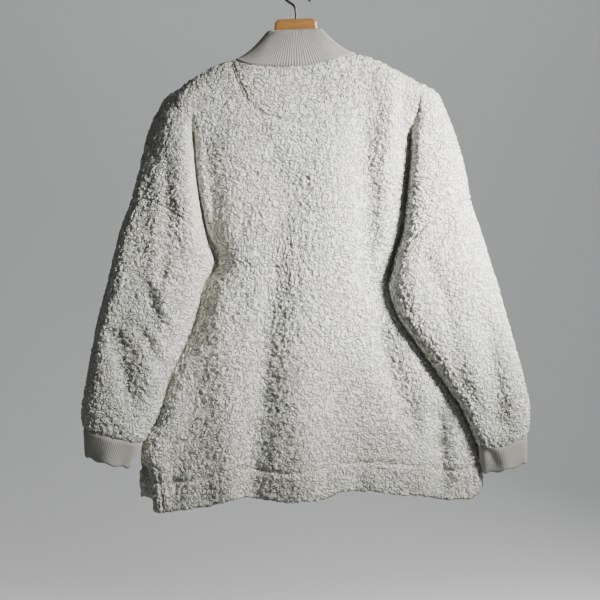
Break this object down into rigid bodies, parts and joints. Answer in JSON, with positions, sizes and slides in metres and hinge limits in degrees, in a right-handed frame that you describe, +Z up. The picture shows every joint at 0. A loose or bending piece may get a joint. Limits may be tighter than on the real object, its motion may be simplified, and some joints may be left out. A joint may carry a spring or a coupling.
{
  "type": "sherpa fleece pullover on hanger",
  "caption": "Loose sherpa fleece pullover with rib collar and cuffs and a side-slit hem, hanging on a flat wooden hanger.",
  "frame": {"origin": "inside top of the hanger's hook, where a rail bears on it", "axes": "+Z up; +X to the right of someone looking at the garment's back; +Y from the back of the garment to its front"},
  "size_m": [0.714, 0.1069, 0.855],
  "materials": {
    "sherpa_fleece": "curly pile, matt",
    "rib_knit": "fine rib, matt",
    "hanger_wood": "clear varnish",
    "hook_metal": "dark satin"
  },
  "bodies": {
    "root": {"back_panel": "sherpa_fleece", "front_panel": "sherpa_fleece", "neck_half_moon": "sherpa_fleece", "sleeve_right": "sherpa_fleece", "sleeve_left": "sherpa_fleece", "cuff_right": "rib_knit", "cuff_left": "rib_knit", "collar": "rib_knit", "hanger_wood": "hanger_wood", "hook_wire": "hook_metal"}
  },
  "joints": []
}
